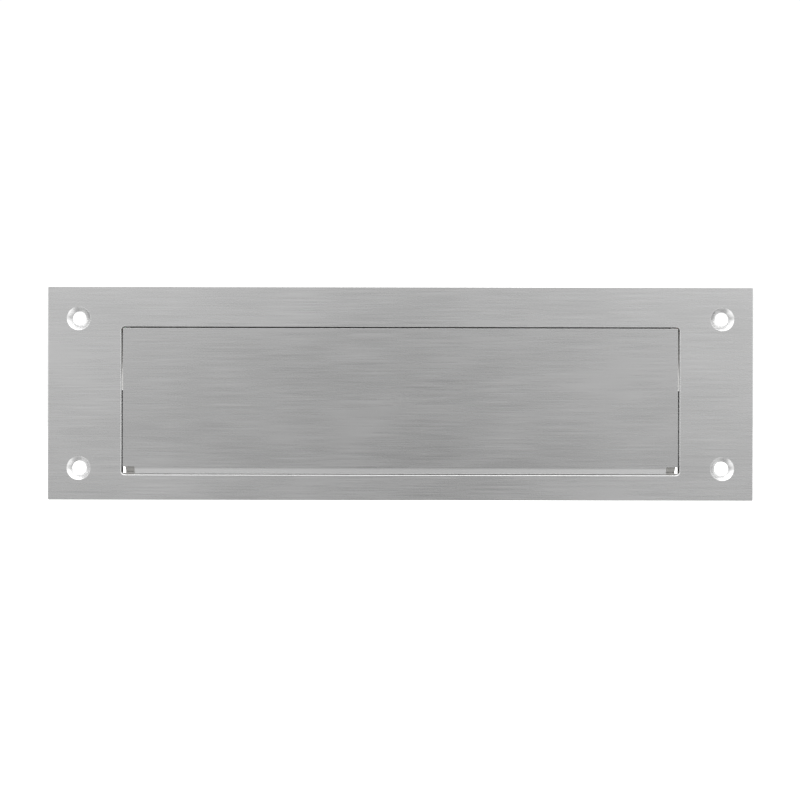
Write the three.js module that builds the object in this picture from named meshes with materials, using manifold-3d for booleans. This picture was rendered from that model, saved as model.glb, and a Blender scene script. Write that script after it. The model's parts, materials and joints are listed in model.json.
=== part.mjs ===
// Letter plate with an inward-opening flap: front plate, flap with its hinge, return springs and fastenings.
// Millimetres. +Z is up, the front faces -Y, and the origin is the centre of the front plate's rear face,
// which is the face that lies on the door.

import * as THREE from 'three';
import Module from 'manifold-3d';
import { mergeVertices } from 'three/addons/utils/BufferGeometryUtils.js';

const wasm = await Module();
wasm.setup();

// ---- front plate ----
const PLATE_WIDTH = 330;
const PLATE_HEIGHT = 100;
const PLATE_THICKNESS = 3;
const PLATE_CORNER_RADIUS = 0.6;
const EDGE_BREAK = 0.4; // deburred edge, on both faces
const TOP_MARGIN = 18.9; // steel above the aperture, which hides the hinge
const BOTTOM_MARGIN = 12;
const SIDE_MARGIN = 34.5;
const APERTURE_CORNER_RADIUS = 1.5;

// ---- fixing screw holes ----
const SCREW_INSET_X = 14.5; // from the plate's end to the hole's axis
const SCREW_INSET_Z = 15;
const SCREW_HOLE_RADIUS = 3.25;
const COUNTERSINK_RADIUS = 5.5;
const COUNTERSINK_HALF_ANGLE = Math.PI / 4;

// ---- flap ----
const FLAP_SHEET = 1.5;
const FLAP_SIDE_GAP = 0.7;
const FLAP_TOP_GAP = 0.6;
const FLAP_BOTTOM_GAP = 0.3;
const LIP_HEIGHT = 3.4; // the flap's lower edge, bent inwards so that it clears the plate as it swings
const LIP_ANGLE = 22 * Math.PI / 180;
const LIP_INNER_RADIUS = 2.5;
const LIP_NOTCH_WIDTH = 5.5; // where the lip stops short of the flap's ends
const STRIP_THICKNESS = 1.5;
const STRIP_WELD_HEIGHT = 4.5; // the closing strip's upper part, welded to the flap's back
const STRIP_BEND_ANGLE = Math.PI / 4; // of the step that takes it back past the plate's thickness
const STRIP_BEND_GAP = 0.8; // from the flap's bend up to where the strip leaves its back
const STRIP_OVERLAP = 4; // how far the closing strip reaches down behind the plate
const STRIP_END_OVERLAP = 3; // how far it reaches past the aperture's ends, behind the plate
const STRIP_END_DROP = 0.5; // from the aperture's lower edge up to the top of those ends

// ---- stop buffers ----
const BUFFER_WIDTH = 14;
const BUFFER_THICKNESS = 1.7;
const BUFFER_REST_GAP = 0.1;
const BUFFER_EDGE_GAP = 0.4; // from the buffer to the aperture's edge, and to the strip's lower edge
const BUFFER_INSET = 25.5; // from the aperture's end to the buffer's centre
const BUFFER_CORNER_RADIUS = 0.8;

// ---- draught strips, stuck on the plate's rear face behind the gap round the flap ----
const DRAUGHT_THICKNESS = 1;
const DRAUGHT_WIDTH = 4.5;
const DRAUGHT_TOP_LAP = 0.9; // how far the top strip hangs behind the flap's top edge
const DRAUGHT_FLAP_CLEARANCE = 0.3; // between a side strip and the flap's end as it swings past
const DRAUGHT_BRACKET_GAP = 0.5;
const DRAUGHT_LUG_GAP = 0.6;
const DRAUGHT_BOTTOM_LAP = 3; // how far a side strip reaches below the aperture
const DRAUGHT_CORNER_RADIUS = 0.3;

// ---- hinge ----
const ROD_RADIUS = 2;
const ROD_BORE_CLEARANCE = 0.1;
const ROD_END_CHAMFER = 0.4;
const HEAD_WALL = 2.1; // steel round the bush's hole, and the same round head on the lug
const LUG_PLATE_GAP = 0.8; // from the lug's head to the plate's rear face
const AXIS_ABOVE_APERTURE = 1.9;
const LUG_SHEET = 1.5;
const LUG_INSET = 0.8; // from the flap's end to the lug
const LUG_TOP_GAP = 1.0; // from the lug's shoulder to the flap's top edge
const LUG_HEIGHT = 21.5;
const LUG_FOOT_WIDTH = 9.7;
const LUG_FOOT_GAP = 1.5; // from the lug's foot to its shoulder
const LUG_LOWER_DEPTH = 3;
const LUG_BACK_ANGLE = -25 * Math.PI / 180; // where the straight rear edge meets the round head

const BUSH_WALL = 0.9;
const BUSH_HOLE_CLEARANCE = 0.1;
const BUSH_FLANGE_WIDTH = 1.6;
const BUSH_SIDE_PLAY = 0.3; // between the lug and the bush's flange
const BUSH_PROUD = 0.5; // past the bracket's outer face
const BRACKET_SHEET = 2;
const BRACKET_APERTURE_GAP = 0.1;
const BRACKET_FOOT_WIDTH = 11.4;
const BRACKET_FOOT_HEIGHT = 25;
const BRACKET_FOOT_DROP = 6; // from the hinge axis to the foot's upper end
const BRACKET_LOWER_DEPTH = 5;
const BRACKET_BEND_RADIUS = 2.5; // outer radius of the fold
const BRACKET_CORNER_RADIUS = 2;

const WASHER_THICKNESS = 0.8;
const WASHER_RING_WIDTH = 1.9;
const WASHER_GAP = 0.1;
const CLIP_THICKNESS = 0.8;
const CLIP_RING_WIDTH = 2.05;
const CLIP_MOUTH_PINCH = 0.3; // the mouth is this much narrower than the groove
const CLIP_GROOVE_DEPTH = 0.5;
const CLIP_GROOVE_CLEARANCE = 0.15;
const CLIP_SIDE_CLEARANCE = 0.1;
const CLIP_WASHER_GAP = 0.3;
const ROD_PAST_CLIP = 1.3;

// ---- return springs ----
const WIRE_RADIUS = 0.45;
const COIL_ROD_GAP = 0.6; // between the rod and the inside of the coil
const COIL_GAP = 0.1; // between neighbouring turns
const COIL_TURNS = 8;
const COIL_LUG_GAP = 0.5;
const LEG_LEAN = 17.5 * Math.PI / 180; // each leg's slant towards the plate
const LEG_REST_GAP = 0.05; // between a leg's tip and the face that it bears on

// ---- bracket fastenings (M3) ----
const STUD_RADIUS = 1.5;
const STUD_LENGTH = 7;
const STUD_CHAMFER = 0.4;
const STUD_FOOT_INSET_X = 5; // from the foot's outer edge to the stud's axis
const STUD_FOOT_INSET_Z = 6;
const STUD_HOLE_CLEARANCE = 0.25;
const LOCK_WASHER_THICKNESS = 0.7;
const LOCK_WASHER_RING_WIDTH = 1.25;
const LOCK_WASHER_BORE_CLEARANCE = 0.15;
const LOCK_WASHER_SPLIT = 0.5;
const NUT_ACROSS_FLATS = 5.5;
const NUT_HEIGHT = 2.4;
const NUT_BORE_CLEARANCE = 0.1;

// ---- facets ----
const ROUND_SEGMENTS = 24;
const SMALL_ROUND_SEGMENTS = 16;
const SCREW_SEGMENTS = 32;
const BEND_SEGMENTS = 4;
const CORNER_SEGMENTS = 3;
const FINE_CORNER_SEGMENTS = 2;
const COIL_STEPS_PER_TURN = 14;
const WIRE_SIDES = 6;
const CUT_MARGIN = 1; // how far a cutting solid runs past the face that it cuts
const MERGE_DISTANCE = 1e-4; // corners closer than this are one corner

// ---- worked-out places ----
const APERTURE_HALF_WIDTH = PLATE_WIDTH / 2 - SIDE_MARGIN;
const APERTURE_TOP = PLATE_HEIGHT / 2 - TOP_MARGIN;
const APERTURE_BOTTOM = -PLATE_HEIGHT / 2 + BOTTOM_MARGIN;
const PLATE_FRONT = -PLATE_THICKNESS;

const FLAP_HALF_WIDTH = APERTURE_HALF_WIDTH - FLAP_SIDE_GAP;
const FLAP_TOP = APERTURE_TOP - FLAP_TOP_GAP;
const FLAP_BOTTOM = APERTURE_BOTTOM + FLAP_BOTTOM_GAP;
const FLAP_FRONT = PLATE_FRONT;
const FLAP_BACK = FLAP_FRONT + FLAP_SHEET;
const LIP_OUTER_RADIUS = LIP_INNER_RADIUS + FLAP_SHEET;
const LIP_TOP = FLAP_BOTTOM + LIP_HEIGHT;
const STRIP_FRONT = BUFFER_THICKNESS + BUFFER_REST_GAP;
const STRIP_BOTTOM = APERTURE_BOTTOM - STRIP_OVERLAP;
const STRIP_HALF_WIDTH = APERTURE_HALF_WIDTH + STRIP_END_OVERLAP;
const STRIP_LEAVES = LIP_TOP + STRIP_BEND_GAP;
const STRIP_TOP = STRIP_LEAVES + STRIP_WELD_HEIGHT;

const ROD_BORE_RADIUS = ROD_RADIUS + ROD_BORE_CLEARANCE;
const BUSH_OUTER_RADIUS = ROD_BORE_RADIUS + BUSH_WALL;
const BUSH_HOLE_RADIUS = BUSH_OUTER_RADIUS + BUSH_HOLE_CLEARANCE;
const BUSH_FLANGE_RADIUS = BUSH_OUTER_RADIUS + BUSH_FLANGE_WIDTH;
const HEAD_RADIUS = BUSH_HOLE_RADIUS + HEAD_WALL;
const AXIS_Y = HEAD_RADIUS + LUG_PLATE_GAP;
const AXIS_Z = APERTURE_TOP + AXIS_ABOVE_APERTURE;
const LUG_OUTER_X = FLAP_HALF_WIDTH - LUG_INSET;
const LUG_INNER_X = LUG_OUTER_X - LUG_SHEET;
const LUG_SHOULDER = FLAP_TOP - LUG_TOP_GAP;
const BUSH_INNER_X = LUG_OUTER_X + BUSH_SIDE_PLAY;
const BRACKET_INNER_X = APERTURE_HALF_WIDTH + BRACKET_APERTURE_GAP;
const BRACKET_OUTER_X = BRACKET_INNER_X + BRACKET_SHEET;
const BUSH_OUTER_X = BRACKET_OUTER_X + BUSH_PROUD;
const WASHER_X = BUSH_OUTER_X + WASHER_GAP;
const CLIP_GROOVE_RADIUS = ROD_RADIUS - CLIP_GROOVE_DEPTH;
const CLIP_X = WASHER_X + WASHER_THICKNESS + CLIP_WASHER_GAP;
const ROD_HALF_LENGTH = CLIP_X + CLIP_THICKNESS + ROD_PAST_CLIP;
const FOOT_TOP = AXIS_Z - BRACKET_FOOT_DROP;
const FOOT_BOTTOM = FOOT_TOP - BRACKET_FOOT_HEIGHT;
const FOOT_OUTER_X = BRACKET_INNER_X + BRACKET_FOOT_WIDTH;
const STUD_X = FOOT_OUTER_X - STUD_FOOT_INSET_X;
const STUD_HEIGHTS = [FOOT_TOP - STUD_FOOT_INSET_Z, FOOT_BOTTOM + STUD_FOOT_INSET_Z];
const COIL_RADIUS = ROD_RADIUS + COIL_ROD_GAP + WIRE_RADIUS;
const COIL_PITCH = 2 * WIRE_RADIUS + COIL_GAP;
const COIL_START = Math.PI - LEG_LEAN;
const COIL_END = Math.PI + LEG_LEAN - 2 * Math.PI * COIL_TURNS;
const COIL_REAL_TURNS = (COIL_START - COIL_END) / (2 * Math.PI);
const COIL_OUTER_X = LUG_INNER_X - COIL_LUG_GAP - WIRE_RADIUS;
const COIL_INNER_X = COIL_OUTER_X - COIL_PITCH * COIL_REAL_TURNS;

// ---- materials ----
function metal(name, color, roughness) {
  return new THREE.MeshStandardMaterial({ name, color, roughness, metalness: 1 });
}

const BRUSHED_STAINLESS = metal('brushed_stainless', 0xb4b4b2, 0.35);
const PRESSED_STAINLESS = metal('pressed_stainless', 0xa6a6a4, 0.4);
const DRAWN_STEEL = metal('drawn_steel', 0xbcbcba, 0.25);
const SPRING_STEEL = metal('spring_steel', 0x8c8c8a, 0.3);
const ZINC_PLATED_STEEL = metal('zinc_plated_steel', 0xb8bcc2, 0.3);
const BLACK_OXIDE_STEEL = metal('black_oxide_steel', 0x2e2d2c, 0.45);
const NATURAL_NYLON = new THREE.MeshStandardMaterial({ name: 'natural_nylon', color: 0xe6e2d4, roughness: 0.5 });
const BLACK_RUBBER = new THREE.MeshStandardMaterial({ name: 'black_rubber', color: 0x202020, roughness: 0.85 });

// ---- geometry helpers ----
const AXES = {
  x: new THREE.Vector3(1, 0, 0),
  y: new THREE.Vector3(0, 1, 0),
  z: new THREE.Vector3(0, 0, 1),
};
// A drawing of the face plane, (X, Z), thickened towards -Y.
const FACE_PLANE = new THREE.Matrix4().makeBasis(AXES.x, AXES.z, AXES.y.clone().negate());
// A drawing of the side plane, (Y, Z), thickened towards +X.
const SIDE_PLANE = new THREE.Matrix4().makeBasis(AXES.y, AXES.z, AXES.x);
// A drawing of the floor plane, (X, Y), thickened towards +Z, needs no turn.
// A lathe profile, (radius, height), whose height runs along +X.
const ALONG_X = new THREE.Matrix4().makeBasis(AXES.y, AXES.x, AXES.z.clone().negate());

function extrude(shape, depth, plane, start, curveSegments = SMALL_ROUND_SEGMENTS / 2) {
  const geometry = new THREE.ExtrudeGeometry(shape, { depth, curveSegments, bevelEnabled: false });
  geometry.translate(0, 0, start);
  return plane ? geometry.applyMatrix4(plane) : geometry;
}

function lathe(points, segments = ROUND_SEGMENTS) {
  return new THREE.LatheGeometry(points.map(([radius, height]) => new THREE.Vector2(radius, height)), segments);
}

function latheX(points, segments = ROUND_SEGMENTS) {
  return lathe(points, segments).applyMatrix4(ALONG_X);
}

function toSolid(geometry) {
  const bare = geometry.clone();
  for (const name of Object.keys(bare.attributes)) {
    if (name !== 'position') bare.deleteAttribute(name);
  }
  const merged = mergeVertices(bare, MERGE_DISTANCE);
  return new wasm.Manifold(new wasm.Mesh({
    numProp: 3,
    vertProperties: merged.attributes.position.array,
    triVerts: Uint32Array.from(merged.index.array),
  }));
}

function toGeometry(solid) {
  const mesh = solid.getMesh();
  const geometry = new THREE.BufferGeometry();
  geometry.setAttribute('position', new THREE.BufferAttribute(Float32Array.from(mesh.vertProperties), 3));
  geometry.setIndex(Array.from(mesh.triVerts));
  const flat = geometry.toNonIndexed();
  flat.computeVertexNormals();
  return flat;
}

function cut(base, ...tools) {
  return toGeometry(tools.reduce((solid, tool) => solid.subtract(toSolid(tool)), toSolid(base)));
}

function mirrored(geometry) {
  const copy = mergeVertices(geometry.clone().deleteAttribute('uv').deleteAttribute('normal'), MERGE_DISTANCE);
  copy.scale(-1, 1, 1);
  const index = copy.index.array;
  for (let i = 0; i < index.length; i += 3) {
    [index[i], index[i + 1]] = [index[i + 1], index[i]];
  }
  copy.computeVertexNormals();
  return copy;
}

function roundedRectangle(left, bottom, right, top, radius, path = new THREE.Shape()) {
  path.moveTo(left + radius, bottom);
  path.lineTo(right - radius, bottom);
  path.absarc(right - radius, bottom + radius, radius, -Math.PI / 2, 0, false);
  path.lineTo(right, top - radius);
  path.absarc(right - radius, top - radius, radius, 0, Math.PI / 2, false);
  path.lineTo(left + radius, top);
  path.absarc(left + radius, top - radius, radius, Math.PI / 2, Math.PI, false);
  path.lineTo(left, bottom + radius);
  path.absarc(left + radius, bottom + radius, radius, Math.PI, 1.5 * Math.PI, false);
  return path;
}

function circle(x, y, radius) {
  return new THREE.Path().absarc(x, y, radius, 0, 2 * Math.PI, true);
}

// ---- front plate ----
function frontPlate() {
  const outline = roundedRectangle(
    -PLATE_WIDTH / 2, -PLATE_HEIGHT / 2, PLATE_WIDTH / 2, PLATE_HEIGHT / 2, PLATE_CORNER_RADIUS);
  outline.holes.push(roundedRectangle(
    -APERTURE_HALF_WIDTH, APERTURE_BOTTOM, APERTURE_HALF_WIDTH, APERTURE_TOP,
    APERTURE_CORNER_RADIUS, new THREE.Path()));
  const blank = new THREE.ExtrudeGeometry(outline, {
    depth: PLATE_THICKNESS - 2 * EDGE_BREAK,
    curveSegments: CORNER_SEGMENTS,
    bevelEnabled: true,
    bevelSegments: FINE_CORNER_SEGMENTS,
    bevelThickness: EDGE_BREAK,
    bevelSize: EDGE_BREAK,
    bevelOffset: -EDGE_BREAK,
  });
  blank.translate(0, 0, EDGE_BREAK).applyMatrix4(FACE_PLANE);
  return cut(blank, ...screwHoles());
}

function screwHoles() {
  const mouth = PLATE_FRONT - CUT_MARGIN;
  const mouthRadius = COUNTERSINK_RADIUS + CUT_MARGIN * Math.tan(COUNTERSINK_HALF_ANGLE);
  const depth = (COUNTERSINK_RADIUS - SCREW_HOLE_RADIUS) / Math.tan(COUNTERSINK_HALF_ANGLE);
  const hole = lathe([
    [0, mouth],
    [mouthRadius, mouth],
    [SCREW_HOLE_RADIUS, PLATE_FRONT + depth],
    [SCREW_HOLE_RADIUS, CUT_MARGIN],
    [0, CUT_MARGIN],
  ], SCREW_SEGMENTS);
  const x = PLATE_WIDTH / 2 - SCREW_INSET_X;
  const z = PLATE_HEIGHT / 2 - SCREW_INSET_Z;
  return [[x, z], [-x, z], [x, -z], [-x, -z]].map(([px, pz]) => hole.clone().translate(px, 0, pz));
}

// ---- flap: the face, with a lip along its lower edge that slants inwards and stops short of both ends ----
function flap() {
  const centreY = FLAP_FRONT + LIP_OUTER_RADIUS;
  const slope = Math.tan(LIP_ANGLE);
  const straight = LIP_HEIGHT - LIP_OUTER_RADIUS * Math.sin(LIP_ANGLE);
  const endY = FLAP_FRONT + LIP_OUTER_RADIUS * (1 - Math.cos(LIP_ANGLE)) + straight * slope;
  const profile = new THREE.Shape();
  profile.moveTo(FLAP_FRONT, FLAP_TOP);
  profile.lineTo(FLAP_FRONT, LIP_TOP);
  profile.absarc(centreY, LIP_TOP, LIP_OUTER_RADIUS, Math.PI, Math.PI + LIP_ANGLE, false);
  profile.lineTo(endY, FLAP_BOTTOM);
  profile.lineTo(endY + FLAP_SHEET / Math.cos(LIP_ANGLE), FLAP_BOTTOM);
  profile.absarc(centreY, LIP_TOP, LIP_INNER_RADIUS, Math.PI + LIP_ANGLE, Math.PI, true);
  profile.lineTo(FLAP_BACK, FLAP_TOP);
  const sheet = extrude(profile, 2 * FLAP_HALF_WIDTH, SIDE_PLANE, -FLAP_HALF_WIDTH, BEND_SEGMENTS);
  const depth = STRIP_FRONT - FLAP_FRONT + 2 * CUT_MARGIN;
  const height = LIP_HEIGHT + CUT_MARGIN;
  const width = LIP_NOTCH_WIDTH + CUT_MARGIN;
  const notch = new THREE.BoxGeometry(width, depth, height);
  const x = FLAP_HALF_WIDTH - LIP_NOTCH_WIDTH + width / 2;
  const y = FLAP_FRONT - CUT_MARGIN + depth / 2;
  const z = LIP_TOP - height / 2;
  return cut(sheet, notch.clone().translate(x, y, z), notch.clone().translate(-x, y, z));
}

// ---- closing strip: welded to the flap's back, stepped back past the plate's thickness, and hanging
// down behind the plate, where it is wider than the aperture ----
function closingStrip() {
  const step = STRIP_FRONT - FLAP_BACK;
  const stepBottom = STRIP_LEAVES - step / Math.tan(STRIP_BEND_ANGLE);
  const corner = STRIP_THICKNESS * Math.tan(STRIP_BEND_ANGLE / 2); // a bend's shift along the sheet
  const profile = new THREE.Shape();
  profile.moveTo(FLAP_BACK, STRIP_TOP);
  profile.lineTo(FLAP_BACK, STRIP_LEAVES);
  profile.lineTo(STRIP_FRONT, stepBottom);
  profile.lineTo(STRIP_FRONT, STRIP_BOTTOM);
  profile.lineTo(STRIP_FRONT + STRIP_THICKNESS, STRIP_BOTTOM);
  profile.lineTo(STRIP_FRONT + STRIP_THICKNESS, stepBottom + corner);
  profile.lineTo(FLAP_BACK + STRIP_THICKNESS, STRIP_LEAVES + corner);
  profile.lineTo(FLAP_BACK + STRIP_THICKNESS, STRIP_TOP);
  const sheet = extrude(profile, 2 * STRIP_HALF_WIDTH, SIDE_PLANE, -STRIP_HALF_WIDTH);
  const shoulder = APERTURE_BOTTOM + STRIP_END_DROP;
  const width = STRIP_HALF_WIDTH - LUG_OUTER_X + CUT_MARGIN;
  const height = STRIP_TOP - shoulder + CUT_MARGIN;
  const depth = STRIP_FRONT + STRIP_THICKNESS - FLAP_BACK + 2 * CUT_MARGIN;
  const end = new THREE.BoxGeometry(width, depth, height);
  const x = LUG_OUTER_X + width / 2;
  const y = FLAP_BACK - CUT_MARGIN + depth / 2;
  const z = shoulder + height / 2;
  return cut(sheet, end.clone().translate(x, y, z), end.clone().translate(-x, y, z));
}

// ---- rubber stop buffer on the plate's rear face ----
function stopBuffer() {
  const x = APERTURE_HALF_WIDTH - BUFFER_INSET;
  const outline = roundedRectangle(
    x - BUFFER_WIDTH / 2, STRIP_BOTTOM + BUFFER_EDGE_GAP,
    x + BUFFER_WIDTH / 2, APERTURE_BOTTOM - BUFFER_EDGE_GAP, BUFFER_CORNER_RADIUS);
  return extrude(outline, BUFFER_THICKNESS, FACE_PLANE, -BUFFER_THICKNESS, CORNER_SEGMENTS);
}

// ---- draught strips ----
function topDraughtStrip() {
  const x = LUG_INNER_X - DRAUGHT_LUG_GAP;
  const bottom = FLAP_TOP - DRAUGHT_TOP_LAP;
  const outline = roundedRectangle(-x, bottom, x, bottom + DRAUGHT_WIDTH, DRAUGHT_CORNER_RADIUS);
  return extrude(outline, DRAUGHT_THICKNESS, FACE_PLANE, -DRAUGHT_THICKNESS, FINE_CORNER_SEGMENTS);
}

function sideDraughtStrip() {
  const x = FLAP_HALF_WIDTH + DRAUGHT_FLAP_CLEARANCE;
  const outline = roundedRectangle(
    x, APERTURE_BOTTOM - DRAUGHT_BOTTOM_LAP,
    x + DRAUGHT_WIDTH, FOOT_BOTTOM - DRAUGHT_BRACKET_GAP, DRAUGHT_CORNER_RADIUS);
  return extrude(outline, DRAUGHT_THICKNESS, FACE_PLANE, -DRAUGHT_THICKNESS, FINE_CORNER_SEGMENTS);
}

// ---- flap lug: foot welded on the flap's back, ear that carries the rod ----
function flapLug() {
  const ear = new THREE.Shape();
  ear.moveTo(FLAP_BACK, LUG_SHOULDER);
  ear.lineTo(FLAP_BACK, LUG_SHOULDER - LUG_HEIGHT);
  ear.lineTo(FLAP_BACK + LUG_LOWER_DEPTH, LUG_SHOULDER - LUG_HEIGHT);
  ear.absarc(AXIS_Y, AXIS_Z, HEAD_RADIUS, LUG_BACK_ANGLE, Math.PI, false);
  ear.lineTo(AXIS_Y - HEAD_RADIUS, LUG_SHOULDER);
  ear.holes.push(circle(AXIS_Y, AXIS_Z, ROD_BORE_RADIUS));
  const upright = extrude(ear, LUG_SHEET, SIDE_PLANE, LUG_INNER_X, ROUND_SEGMENTS / 2);
  const footOutline = roundedRectangle(
    LUG_OUTER_X - LUG_FOOT_WIDTH, LUG_SHOULDER - LUG_HEIGHT,
    LUG_OUTER_X, LUG_SHOULDER - LUG_FOOT_GAP, LUG_SHEET / 2);
  const foot = extrude(footOutline, LUG_SHEET, FACE_PLANE, -FLAP_BACK - LUG_SHEET, CORNER_SEGMENTS);
  return toGeometry(toSolid(upright).add(toSolid(foot)));
}

// ---- hinge rod, turned at both ends for the clips ----
function hingeRod() {
  const half = [
    [ROD_RADIUS, CLIP_X - CLIP_SIDE_CLEARANCE],
    [CLIP_GROOVE_RADIUS, CLIP_X - CLIP_SIDE_CLEARANCE],
    [CLIP_GROOVE_RADIUS, CLIP_X + CLIP_THICKNESS + CLIP_SIDE_CLEARANCE],
    [ROD_RADIUS, CLIP_X + CLIP_THICKNESS + CLIP_SIDE_CLEARANCE],
    [ROD_RADIUS, ROD_HALF_LENGTH - ROD_END_CHAMFER],
    [ROD_RADIUS - ROD_END_CHAMFER, ROD_HALF_LENGTH],
    [0, ROD_HALF_LENGTH],
  ];
  const otherHalf = half.map(([radius, x]) => [radius, -x]).reverse();
  return latheX([...otherHalf, ...half]);
}

// ---- hinge bracket: foot on the plate's rear face, folded upright that carries the bush ----
function hingeBracket() {
  const fold = new THREE.Shape();
  const foldX = BRACKET_INNER_X + BRACKET_BEND_RADIUS;
  const reach = AXIS_Y + HEAD_RADIUS + CUT_MARGIN;
  fold.moveTo(FOOT_OUTER_X, 0);
  fold.lineTo(FOOT_OUTER_X, BRACKET_SHEET);
  fold.absarc(foldX, BRACKET_BEND_RADIUS, BRACKET_BEND_RADIUS - BRACKET_SHEET, 1.5 * Math.PI, Math.PI, true);
  fold.lineTo(BRACKET_OUTER_X, reach);
  fold.lineTo(BRACKET_INNER_X, reach);
  fold.absarc(foldX, BRACKET_BEND_RADIUS, BRACKET_BEND_RADIUS, Math.PI, 1.5 * Math.PI, false);
  const topZ = AXIS_Z + HEAD_RADIUS + CUT_MARGIN;
  const angle = extrude(fold, topZ - FOOT_BOTTOM, null, FOOT_BOTTOM, BEND_SEGMENTS);

  const side = new THREE.Shape();
  side.moveTo(0, FOOT_TOP);
  side.lineTo(0, FOOT_BOTTOM);
  side.lineTo(BRACKET_LOWER_DEPTH, FOOT_BOTTOM);
  side.absarc(AXIS_Y, AXIS_Z, HEAD_RADIUS, LUG_BACK_ANGLE, Math.PI, false);
  side.holes.push(circle(AXIS_Y, AXIS_Z, BUSH_HOLE_RADIUS));
  const upright = extrude(side, BRACKET_BEND_RADIUS, SIDE_PLANE, BRACKET_INNER_X, ROUND_SEGMENTS / 2);

  const footOutline = roundedRectangle(
    BRACKET_INNER_X, FOOT_BOTTOM, FOOT_OUTER_X, FOOT_TOP, BRACKET_CORNER_RADIUS);
  for (const z of STUD_HEIGHTS) {
    footOutline.holes.push(circle(STUD_X, z, STUD_RADIUS + STUD_HOLE_CLEARANCE));
  }
  const foot = extrude(footOutline, BRACKET_SHEET, FACE_PLANE, -BRACKET_SHEET, SMALL_ROUND_SEGMENTS / 2);
  return toGeometry(toSolid(angle).intersect(toSolid(upright).add(toSolid(foot))));
}

// ---- flanged bush, pressed into the bracket from the flap's side ----
function pivotBush() {
  return latheX([
    [ROD_BORE_RADIUS, BUSH_INNER_X],
    [BUSH_FLANGE_RADIUS, BUSH_INNER_X],
    [BUSH_FLANGE_RADIUS, BRACKET_INNER_X],
    [BUSH_OUTER_RADIUS, BRACKET_INNER_X],
    [BUSH_OUTER_RADIUS, BUSH_OUTER_X],
    [ROD_BORE_RADIUS, BUSH_OUTER_X],
    [ROD_BORE_RADIUS, BUSH_INNER_X],
  ]);
}

// ---- rod washer ----
function rodWasher() {
  const rim = ROD_BORE_RADIUS + WASHER_RING_WIDTH;
  return latheX([
    [ROD_BORE_RADIUS, WASHER_X],
    [rim, WASHER_X],
    [rim, WASHER_X + WASHER_THICKNESS],
    [ROD_BORE_RADIUS, WASHER_X + WASHER_THICKNESS],
    [ROD_BORE_RADIUS, WASHER_X],
  ]);
}

// ---- retaining clip: an open ring pushed into the rod's groove, its mouth facing down ----
function retainingClip() {
  const inner = CLIP_GROOVE_RADIUS + CLIP_GROOVE_CLEARANCE;
  const mouth = 2 * CLIP_GROOVE_RADIUS - CLIP_MOUTH_PINCH;
  const ring = openRing(AXIS_Y, AXIS_Z, inner, inner + CLIP_RING_WIDTH, mouth);
  return extrude(ring, CLIP_THICKNESS, SIDE_PLANE, CLIP_X, ROUND_SEGMENTS / 2);
}

function openRing(x, y, inner, outer, mouth) {
  const outerHalf = Math.asin(mouth / 2 / outer);
  const innerHalf = Math.asin(mouth / 2 / inner);
  const down = -Math.PI / 2;
  const ring = new THREE.Shape();
  ring.absarc(x, y, outer, down + outerHalf, down + 2 * Math.PI - outerHalf, false);
  ring.absarc(x, y, inner, down + 2 * Math.PI - innerHalf, down + innerHalf, true);
  return ring;
}

// ---- return spring: a coil round the rod, one leg up to the plate's rear face, one down to the flap's back.
// Opening the flap winds it tighter. ----
function returnSpring() {
  const onCoil = (angle, x) => new THREE.Vector3(
    x, AXIS_Y + COIL_RADIUS * Math.cos(angle), AXIS_Z + COIL_RADIUS * Math.sin(angle));
  const leg = (angle, x, turn, bearingY) => {
    const from = onCoil(angle, x);
    const along = new THREE.Vector3(0, -Math.sin(angle), Math.cos(angle)).multiplyScalar(turn);
    return from.clone().addScaledVector(along, (bearingY - from.y) / along.y);
  };
  const movingTip = leg(COIL_START, COIL_INNER_X, 1, FLAP_BACK + WIRE_RADIUS + LEG_REST_GAP);
  const fixedTip = leg(COIL_END, COIL_OUTER_X, -1, WIRE_RADIUS + LEG_REST_GAP);
  const steps = Math.round(COIL_STEPS_PER_TURN * COIL_REAL_TURNS);
  const points = [movingTip];
  for (let i = 0; i <= steps; i++) {
    const t = i / steps;
    points.push(onCoil(
      COIL_START + (COIL_END - COIL_START) * t, COIL_INNER_X + (COIL_OUTER_X - COIL_INNER_X) * t));
  }
  points.push(fixedTip);
  return sweep(points, WIRE_RADIUS, WIRE_SIDES);
}

// A round wire through the given points, whose section keeps one side towards +X.
function sweep(points, radius, sides) {
  const position = [];
  const index = [];
  points.forEach((point, i) => {
    const before = points[Math.max(i - 1, 0)];
    const after = points[Math.min(i + 1, points.length - 1)];
    const along = after.clone().sub(before).normalize();
    const side = AXES.x.clone().addScaledVector(along, -along.x).normalize();
    const up = new THREE.Vector3().crossVectors(along, side);
    for (let k = 0; k < sides; k++) {
      const angle = 2 * Math.PI * k / sides;
      const rim = point.clone().addScaledVector(side, radius * Math.cos(angle));
      rim.addScaledVector(up, radius * Math.sin(angle));
      position.push(rim.x, rim.y, rim.z);
    }
  });
  for (let i = 0; i + 1 < points.length; i++) {
    for (let k = 0; k < sides; k++) {
      const a = i * sides + k;
      const b = i * sides + (k + 1) % sides;
      index.push(a, b, a + sides, b, b + sides, a + sides);
    }
  }
  const last = (points.length - 1) * sides;
  for (let k = 1; k + 1 < sides; k++) {
    index.push(0, k + 1, k, last, last + k, last + k + 1);
  }
  const geometry = new THREE.BufferGeometry();
  geometry.setAttribute('position', new THREE.Float32BufferAttribute(position, 3));
  geometry.setIndex(index);
  geometry.computeVertexNormals();
  return geometry;
}

// ---- bracket fastenings ----
function weldStud() {
  return lathe([
    [0, 0],
    [STUD_RADIUS, 0],
    [STUD_RADIUS, STUD_LENGTH - STUD_CHAMFER],
    [STUD_RADIUS - STUD_CHAMFER, STUD_LENGTH],
    [0, STUD_LENGTH],
  ], SMALL_ROUND_SEGMENTS);
}

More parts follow.
